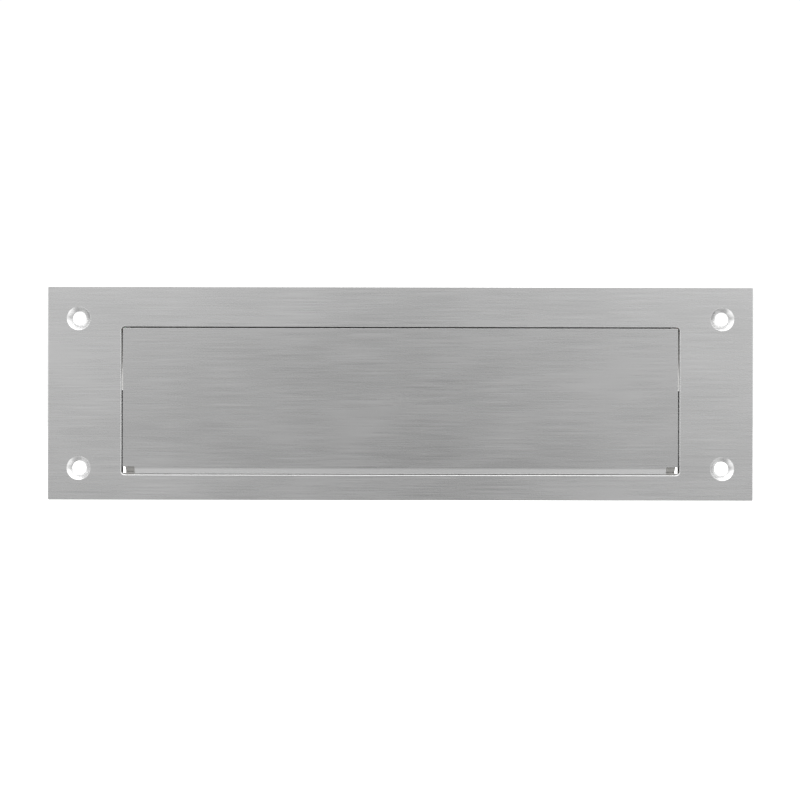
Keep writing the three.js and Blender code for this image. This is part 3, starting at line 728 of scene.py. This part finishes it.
def folded_sheet(name, section, outline, low, high, foot_cut):
    """An L section (x, y) standing on low.z, trimmed to a side outline, with its foot cut off above."""
    top = hinge.z + HEAD_RADIUS + PAST
    piece = plate_of(name, [Vector((u, v, low.z)) for u, v in section], (0, 0, top - low.z))
    trim = plate_of("cutter", side_plane(outline, low.x - PAST), (high.x - low.x + 2 * PAST, 0, 0))
    boolean(piece, trim, "INTERSECT")
    boolean(piece, block("cutter", *foot_cut))
    return piece


def cross_hole(x_low, x_high, radius):
    """A cutter on the hinge axis."""
    profile = [(x_low - PAST, 0), (x_low - PAST, radius), (x_high + PAST, radius), (x_high + PAST, 0)]
    return turned("cutter", profile, "X", (0, hinge.y, hinge.z), 64)


def make_flap_lugs(material):
    shoulder = flap_high.z - LUG_SHOULDER_DROP
    foot_top = shoulder - LUG_FOOT_GAP
    foot_back = flap_back + LUG_SHEET
    inner = lug_high.x - LUG_SHEET
    rear = hinge.y + HEAD_RADIUS + PAST
    section = [
        (lug_low.x, flap_back), (lug_high.x, flap_back), (lug_high.x, rear), (inner, rear),
        *arc((inner - LUG_FILLET, foot_back + LUG_FILLET), LUG_FILLET, 0, -math.pi / 2, 4),
        (lug_low.x, foot_back),
    ]
    corners = [(hinge.y - HEAD_RADIUS, shoulder), (flap_back - PAST, shoulder)]
    outline = head_outline(flap_back, lug_low.z, LUG_LOWER_DEPTH, corners)
    foot_cut = (
        (lug_low.x - PAST, flap_back - PAST, foot_top),
        (inner, foot_back + LUG_FILLET + FOOT_CUT_REACH, shoulder + PAST),
    )
    lug = folded_sheet("flap_lug_right_steel", section, outline, lug_low, lug_high, foot_cut)
    for z in (lug_low.z, foot_top):
        round_edges(lug, same_line("y", x=lug_low.x, z=z), LUG_SHEET / 2, 4)
    boolean(lug, cross_hole(inner, lug_high.x, BORE_RADIUS))
    break_edges(lug, LUG_EDGE_BREAK)
    left = mirrored(lug, "flap_lug_left_steel")
    finish_piece(lug, material, "flap", "pressed_stainless", "flap_lug_right")
    finish_piece(left, material, "flap", "pressed_stainless", "flap_lug_left")


def make_hinge_brackets(material):
    foot_top = hinge.z - BRACKET_FOOT_DROP
    inner, outer = bracket_low.x, bracket_low.x + BRACKET_SHEET
    fold = (inner + BRACKET_BEND_RADIUS, BRACKET_BEND_RADIUS)
    rear = hinge.y + HEAD_RADIUS + PAST
    section = [
        (bracket_high.x, 0), (bracket_high.x, BRACKET_SHEET),
        *arc(fold, BRACKET_BEND_RADIUS - BRACKET_SHEET, 1.5 * math.pi, math.pi, 5),
        (outer, rear), (inner, rear),
        *arc(fold, BRACKET_BEND_RADIUS, math.pi, 1.5 * math.pi, 10),
    ]
    corners = [(0, foot_top), (-PAST, foot_top)]
    outline = head_outline(0, bracket_low.z, BRACKET_LOWER_DEPTH, corners)
    foot_cut = (
        (fold[0], -PAST, foot_top),
        (bracket_high.x + PAST, BRACKET_SHEET + FOOT_CUT_REACH, hinge.z),
    )
    bracket = folded_sheet(
        "hinge_bracket_right_steel", section, outline, bracket_low, bracket_high, foot_cut
    )
    for z in (bracket_low.z, foot_top):
        round_edges(bracket, same_line("y", x=bracket_high.x, z=z), BRACKET_CORNER_RADIUS, 6)
    boolean(bracket, cross_hole(inner, outer, BUSH_HOLE_RADIUS))
    for z in stud_heights():
        end = BRACKET_SHEET + PAST
        profile = [(-PAST, 0), (-PAST, STUD_HOLE_RADIUS), (end, STUD_HOLE_RADIUS), (end, 0)]
        boolean(bracket, turned("cutter", profile, "Y", (stud_centre().x, 0, z), 48))
    break_edges(bracket, SHEET_EDGE_BREAK)
    left = mirrored(bracket, "hinge_bracket_left_steel")
    finish_piece(bracket, material, "plate", "pressed_stainless", "hinge_bracket_right")
    finish_piece(left, material, "plate", "pressed_stainless", "hinge_bracket_left")


def stud_centre():
    return (stud_low + stud_high) / 2


def stud_heights():
    lower_low, lower_high = node_box("weld_stud_right_lower")
    return (stud_centre().z, (lower_low.z + lower_high.z) / 2)


# ---- bushes, rod, washers and clips ----
def make_pivot_bushes(material):
    flange = BUSH_RADIUS + BUSH_FLANGE_WIDTH
    face = bracket_low.x
    profile = [
        (bush_low.x, BORE_RADIUS + BUSH_LEAD_IN), (bush_low.x, flange - BUSH_LEAD_IN),
        (bush_low.x + 0.1, flange - 0.1), (bush_low.x + BUSH_LEAD_IN, flange),
        (face - 0.1, flange), (face, flange - 0.1), (face, BUSH_RADIUS),
        (bush_high.x - 0.25, BUSH_RADIUS), (bush_high.x, BUSH_RADIUS - 0.2),
        (bush_high.x, BORE_RADIUS + 0.15), (bush_high.x - 0.15, BORE_RADIUS),
        (bush_low.x + BUSH_LEAD_IN, BORE_RADIUS),
    ]
    bush = turned("pivot_bush_right_nylon", profile, "X", (0, hinge.y, hinge.z), 64)
    left = mirrored(bush, "pivot_bush_left_nylon")
    finish_piece(bush, material, "plate", "natural_nylon", "pivot_bush_right")
    finish_piece(left, material, "plate", "natural_nylon", "pivot_bush_left")


def make_hinge_rod(material):
    groove_low, groove_high = clip_low.x - GROOVE_SIDE_GAP, clip_high.x + GROOVE_SIDE_GAP
    half = [
        (groove_low - GROOVE_EDGE, ROD_RADIUS), (groove_low, ROD_RADIUS - GROOVE_EDGE),
        (groove_low, GROOVE_RADIUS + GROOVE_CORNER), (groove_low + GROOVE_CORNER, GROOVE_RADIUS),
        (groove_high - GROOVE_CORNER, GROOVE_RADIUS), (groove_high, GROOVE_RADIUS + GROOVE_CORNER),
        (groove_high, ROD_RADIUS - GROOVE_EDGE), (groove_high + GROOVE_EDGE, ROD_RADIUS),
        (rod_high.x - 0.4, ROD_RADIUS), (rod_high.x - 0.1, ROD_RADIUS - 0.35),
        (rod_high.x, ROD_RADIUS - 0.55), (rod_high.x, 0),
    ]
    other = [(-place, radius) for place, radius in reversed(half)]
    rod = turned("hinge_rod_steel", other + half, "X", (0, hinge.y, hinge.z), 64)
    finish_piece(rod, material, "flap", "drawn_steel", "hinge_rod")


def make_rod_washers(material):
    rim = (rod_washer_high.z - rod_washer_low.z) / 2
    low, high = rod_washer_low.x, rod_washer_high.x
    profile = [
        (low, BORE_RADIUS + 0.08), (low, rim - 0.22), (low + 0.07, rim - 0.07), (low + 0.22, rim),
        (high - 0.05, rim), (high, rim - 0.05), (high, BORE_RADIUS + 0.08), (high - 0.08, BORE_RADIUS),
        (low + 0.08, BORE_RADIUS),
    ]
    washer = turned("rod_washer_right_steel", profile, "X", (0, hinge.y, hinge.z), 64)
    left = mirrored(washer, "rod_washer_left_steel")
    finish_piece(washer, material, "flap", "zinc_plated_steel", "rod_washer_right")
    finish_piece(left, material, "flap", "zinc_plated_steel", "rod_washer_left")


def make_retaining_clips(material):
    """An E clip: three lobes that bear in the groove, with two pockets between them, and its mouth down."""
    points = []
    for radius, start, end, steps in (
        ((clip_high.y - clip_low.y) / 2, -52, 232, 40),
        (CLIP_GRIP_RADIUS, 228, 172, 6),
        (CLIP_POCKET_RADIUS, 164, 124, 6),
        (CLIP_GRIP_RADIUS, 114, 66, 6),
        (CLIP_POCKET_RADIUS, 56, 16, 6),
        (CLIP_GRIP_RADIUS, 8, -48, 6),
    ):
        points += arc((hinge.y, hinge.z), radius, math.radians(start), math.radians(end), steps)
    thickness = (clip_high.x - clip_low.x, 0, 0)
    clip = plate_of("retaining_clip_right_steel", side_plane(points, clip_low.x), thickness)
    break_edges(clip, FINE_EDGE_BREAK, 2)
    left = mirrored(clip, "retaining_clip_left_steel")
    finish_piece(clip, material, "flap", "black_oxide_steel", "retaining_clip_right")
    finish_piece(left, material, "flap", "black_oxide_steel", "retaining_clip_left")


# ---- return springs ----
def spring_route():
    """The wire's centre line on the right: from the flap's back, round the rod, to the plate's back."""
    start = math.pi - LEG_LEAN
    end = math.pi + LEG_LEAN - math.tau * COIL_TURNS
    outer_x = spring_high.x - WIRE_RADIUS
    inner_x = spring_low.x + WIRE_RADIUS

    def on_coil(angle, x):
        y = hinge.y + COIL_RADIUS * math.cos(angle)
        z = hinge.z + COIL_RADIUS * math.sin(angle)
        return Vector((x, y, z))

    def leg(angle, x, turn, bearing_y):
        root = on_coil(angle, x)
        along = Vector((0, -math.sin(angle), math.cos(angle))) * turn
        return root + along * ((bearing_y - root.y) / along.y)

    steps = COIL_TURNS * COIL_STEPS_PER_TURN
    coil = []
    for i in range(steps + 1):
        share = i / steps
        coil.append(on_coil(start + (end - start) * share, inner_x + (outer_x - inner_x) * share))
    moving_tip = leg(start, inner_x, 1, flap_back + WIRE_RADIUS + LEG_GAP)
    fixed_tip = leg(end, outer_x, -1, WIRE_RADIUS + LEG_GAP)
    return [moving_tip, *coil, fixed_tip]


def make_return_springs(material):
    route = spring_route()
    curve = bpy.data.curves.new("return_spring_right_wire", "CURVE")
    curve.dimensions = "3D"
    spline = curve.splines.new("POLY")
    spline.points.add(len(route) - 1)
    for point, place in zip(spline.points, route):
        point.co = (*(place * MM), 1)
    curve.bevel_depth = WIRE_RADIUS * MM
    curve.bevel_resolution = 4
    curve.use_fill_caps = True
    spring = bpy.data.objects.new("return_spring_right_wire", curve)
    bpy.context.scene.collection.objects.link(spring)
    activate(spring)
    bpy.ops.object.convert(target="MESH")
    spring = bpy.context.object
    edit(spring)
    tidy_mesh()
    leave()
    left = mirrored(spring, "return_spring_left_wire")
    for piece, side in ((spring, "right"), (left, "left")):
        smooth(piece, 50)
        piece.data.materials.append(material)
        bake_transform(piece)
        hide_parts("return_spring_" + side)


# ---- bracket fastenings ----
def thread_profile(low, high, radius):
    """Thread crests and roots between two places along a stud."""
    points = []
    turns = int((high - low) / THREAD_PITCH)
    for i in range(turns):
        place = low + i * THREAD_PITCH
        points += [(place, radius), (place + THREAD_PITCH / 2, radius - THREAD_DEPTH)]
    return points + [(low + turns * THREAD_PITCH, radius)]


def make_weld_stud():
    high = stud_high.y
    profile = [
        (0, 0), (0, STUD_RADIUS), (1.0, STUD_RADIUS), *thread_profile(1.2, high - 0.5, STUD_RADIUS),
        (high - 0.15, STUD_RADIUS - 0.3), (high, STUD_RADIUS - 0.5), (high, 0),
    ]
    centre = stud_centre()
    return turned("weld_stud", profile, "Y", (centre.x, 0, centre.z), 32)


def make_lock_washer():
    """A split ring of rectangular wire, its cut ends a little apart."""
    centre = stud_centre()
    inner, outer = LOCK_WASHER_BORE_RADIUS, (lock_washer_high.x - lock_washer_low.x) / 2
    gap = LOCK_WASHER_SPLIT
    down = -math.pi / 2
    points = [
        *arc((centre.x, centre.z), outer, down + gap / 2, down + math.tau - gap / 2, 48),
        *arc((centre.x, centre.z), inner, down + math.tau - gap, down + gap, 48),
    ]
    thickness = (0, lock_washer_high.y - lock_washer_low.y, 0)
    washer = plate_of("lock_washer", face_plane(points, lock_washer_low.y), thickness)
    return break_edges(washer, LOCK_WASHER_EDGE_BREAK, 3)


def make_stud_nut():
    """A hexagon nut, chamfered on both faces, with a countersunk bore."""
    centre = stud_centre()
    low, high = nut_low.y, nut_high.y
    corner = (nut_high.x - nut_low.x) / 2
    flat = corner * math.cos(math.pi / 6)
    hexagon = [
        (centre.x + corner * math.cos(math.pi / 3 * i), centre.z + corner * math.sin(math.pi / 3 * i))
        for i in range(6)
    ]
    nut = plate_of("stud_nut", face_plane(hexagon, low), (0, high - low, 0))
    slope = (corner - flat) * 0.7
    envelope = [
        (low, 0), (low, flat - 0.05), (low + slope, corner + 0.05),
        (high - slope, corner + 0.05), (high, flat - 0.05), (high, 0),
    ]
    boolean(nut, turned("cutter", envelope, "Y", (centre.x, 0, centre.z), 72), "INTERSECT")
    bore = [
        (low - 0.5, 0), (low - 0.5, NUT_MOUTH_RADIUS), (low + 0.25, STUD_RADIUS + 0.02),
        (high - 0.25, STUD_RADIUS + 0.02), (high + 0.5, NUT_MOUTH_RADIUS), (high + 0.5, 0),
    ]
    boolean(nut, turned("cutter", bore, "Y", (centre.x, 0, centre.z), 48))
    return break_edges(nut, NUT_EDGE_BREAK, 2)


def make_bracket_fastenings(steel, zinc):
    centre = stud_centre()
    kinds = [
        (make_weld_stud(), "weld_stud", steel, "drawn_steel", "steel"),
        (make_lock_washer(), "lock_washer", zinc, "zinc_plated_steel", "zinc"),
        (make_stud_nut(), "stud_nut", zinc, "zinc_plated_steel", "zinc"),
    ]
    upper, lower = stud_heights()
    for pattern, node, material, slot, ending in kinds:
        for side, x in (("left", -centre.x), ("right", centre.x)):
            for level, z in (("upper", upper), ("lower", lower)):
                where = f"{node}_{side}_{level}"
                piece = moved_copy(pattern, f"{where}_{ending}", (x - centre.x, 0, z - centre.z))
                finish_piece(piece, material, "plate", slot, where)
        bpy.data.objects.remove(pattern)


# ---- stop buffers ----
def make_stop_buffers(material):
    """A moulded pad with rounded corners and two shallow grooves across its face."""
    outline = rounded_rectangle(
        buffer_low.x, buffer_low.z, buffer_high.x, buffer_high.z, BUFFER_CORNER_RADIUS
    )
    pad = plate_of("stop_buffer_right_rubber", face_plane(outline, 0), (0, buffer_high.y, 0))
    for share in (1 / 3, 2 / 3):
        x = buffer_low.x + (buffer_high.x - buffer_low.x) * share
        half = BUFFER_GROOVE_WIDTH / 2
        start = (x - half, buffer_high.y - BUFFER_GROOVE_DEPTH, buffer_low.z - PAST)
        boolean(pad, block("cutter", start, (x + half, buffer_high.y + PAST, buffer_high.z + PAST)))
    break_edges(pad, BUFFER_EDGE_BREAK, 3)
    left = mirrored(pad, "stop_buffer_left_rubber")
    finish_piece(pad, material, "plate", "black_rubber", "stop_buffer_right")
    finish_piece(left, material, "plate", "black_rubber", "stop_buffer_left")


# ---- draught strips ----
def make_draught_strips(material):
    """Self-adhesive rubber strips: square where they are stuck, crowned along their free face."""
    for end in ("top", "left", "right"):
        low, high = node_box("draught_strip_" + end)
        outline = rounded_rectangle(low.x, low.z, high.x, high.z, DRAUGHT_STRIP_CORNER_RADIUS, 3)
        strip = plate_of(f"draught_strip_{end}_rubber", face_plane(outline, low.y), (0, high.y - low.y, 0))
        round_edges(strip, lambda a, b: min(a.y, b.y) > high.y - 0.01, DRAUGHT_STRIP_CROWN, 4)
        finish_piece(strip, material, "plate", "black_rubber", "draught_strip_" + end)


# ---- welds ----
def spot_weld(name, x, surface, z, radius, material):
    """A resistance spot weld: a shallow round dent inside a low rim, on a face that looks to the back."""
    profile = [
        (surface - 0.15, 0), (surface - 0.15, radius), (surface, radius),
        (surface + 0.06, radius - 0.2), (surface + 0.02, radius - 0.5), (surface + 0.01, 0),
    ]
    weld = turned(name, profile, "Y", (x, 0, z), 32)
    finish_piece(weld, material, "flap", "pressed_stainless", angle=60)


def make_spot_welds(material):
    lug_x = (lug_low.x + lug_high.x - LUG_SHEET) / 2 - LUG_WELD_OFFSET
    surface = flap_back + LUG_SHEET
    for side, way in (("left", -1), ("right", 1)):
        for i, height in enumerate(LUG_WELD_HEIGHTS):
            name = f"lug_spot_weld_{side}_{i + 1}"
            spot_weld(name, way * lug_x, surface, lug_low.z + height, LUG_WELD_RADIUS, material)
    reach = lug_low.x - STRIP_WELD_INSET
    surface = strip_low.y + STRIP_SHEET
    z = strip_high.z - STRIP_WELD_HEIGHT / 2 + STRIP_WELD_LIFT
    for i in range(STRIP_WELD_COUNT):
        x = -reach + 2 * reach * i / (STRIP_WELD_COUNT - 1)
        spot_weld(f"strip_spot_weld_{i + 1}", x, surface, z, STRIP_WELD_RADIUS, material)


# ---- studio ----
FLOOR_Z = -110
FLOOR_SIZE = 12000
PAPER_STRENGTH = 1.05


def make_floor():
    bpy.ops.mesh.primitive_plane_add(size=FLOOR_SIZE * MM, location=(0, 0, FLOOR_Z * MM))
    floor = bpy.context.object
    floor.name = "studio_floor"
    material, tree, shader, place = start_material("pale_floor_paint")
    tone = spread(tree, stretched_noise(tree, place, (400, 400, 400), 2.0), 0.0, 1.0)
    connect(tree, shader, Base_Color=blended(tree, tone, "f4f4f3", "f7f7f6"), Roughness=0.9)
    shader.inputs["Specular IOR Level"].default_value = 0.1
    floor.data.materials.append(material)
    floor.visible_glossy = False


def soft_light(name, place, towards, size, power):
    direction = Vector(towards) - Vector(place)
    bpy.ops.object.light_add(type="AREA", location=Vector(place) * MM)
    light = bpy.context.object
    light.name = name
    light.rotation_euler = direction.to_track_quat("-Z", "Y").to_euler()
    light.data.shape = "RECTANGLE"
    light.data.size, light.data.size_y = (s * MM for s in size)
    light.data.energy = power
    return light


def make_lights():
    world = bpy.data.worlds.new("white_tent")
    bpy.context.scene.world = world
    world.use_nodes = True
    tree = world.node_tree
    tree.nodes.clear()
    direction = add(tree, "ShaderNodeTexCoord").outputs["Generated"]
    parts = add(tree, "ShaderNodeSeparateXYZ", None, Vector=direction)
    across, up = parts.outputs["X"], parts.outputs["Z"]
    sideways = add(tree, "ShaderNodeMath", {"operation": "ABSOLUTE"}, i0=across).outputs["Value"]
    # Each row adds light that goes from low to high as its part of the direction goes from start to end.
    # The tent's opening, round the camera, is darker than its walls, and its roof is the brightest.
    total = 0.0
    for part, start, end, low, high in (
        (sideways, 0.0, 0.14, 0.13, 0.47),
        (across, -0.26, -0.12, -0.06, 0.0),
        (sideways, 0.25, 0.60, 0.0, 0.80),
        (up, -0.05, 0.35, 0.0, 1.15),
        (up, -0.50, -0.15, 0.56, 0.0),
        (up, -0.90, -0.50, 0.06, 0.0),
        (up, 0.45, 0.75, 0.0, 0.35),
    ):
        share = add(
            tree, "ShaderNodeMapRange", {"interpolation_type": "SMOOTHSTEP"},
            Value=part, i1=start, i2=end, i3=low, i4=high,
        ).outputs["Result"]
        total = add(tree, "ShaderNodeMath", {"operation": "ADD"}, i0=share, i1=total).outputs["Value"]
    tent, paper = (
        add(tree, "ShaderNodeBackground", None, Color=(1, 1, 1, 1), Strength=strength).outputs["Background"]
        for strength in (total, PAPER_STRENGTH)
    )
    seen = add(tree, "ShaderNodeLightPath").outputs["Is Camera Ray"]
    mixed = add(tree, "ShaderNodeMixShader", None, i0=seen, i1=tent, i2=paper).outputs["Shader"]
    add(tree, "ShaderNodeOutputWorld", None, Surface=mixed)
    soft_light("overhead_softbox", (0, -250, 1300), (0, 0, 0), (1600, 900), 9)


# ---- assembly ----
make_camera()
make_floor()
make_lights()

plate_steel = brushed_stainless_304("brushed_stainless_304_plate", "c7c7c7", "cdcdcd")
# The flap's copy of the brushed steel is a shade darker all over than the plate's: painted shade, standing
# in for the flap's face looking darker than the plate round it.
flap_steel = brushed_stainless_304("brushed_stainless_304_flap", "bfbfbf", "c5c5c5")
mill = mill_finish_stainless()
drawn = drawn_bright_stainless()
zinc = bright_zinc_plate()

make_front_plate(plate_steel)
make_flap(flap_steel)
make_closing_strip(mill)
make_flap_lugs(mill)
make_hinge_brackets(mill)
make_pivot_bushes(natural_nylon())
make_hinge_rod(drawn)
make_rod_washers(zinc)
make_retaining_clips(black_oxide())
make_return_springs(spring_wire())
make_bracket_fastenings(drawn, zinc)
rubber = moulded_rubber()
make_stop_buffers(rubber)
make_draught_strips(rubber)
make_spot_welds(weld_metal())

bpy.context.scene.view_settings.view_transform = "Standard"
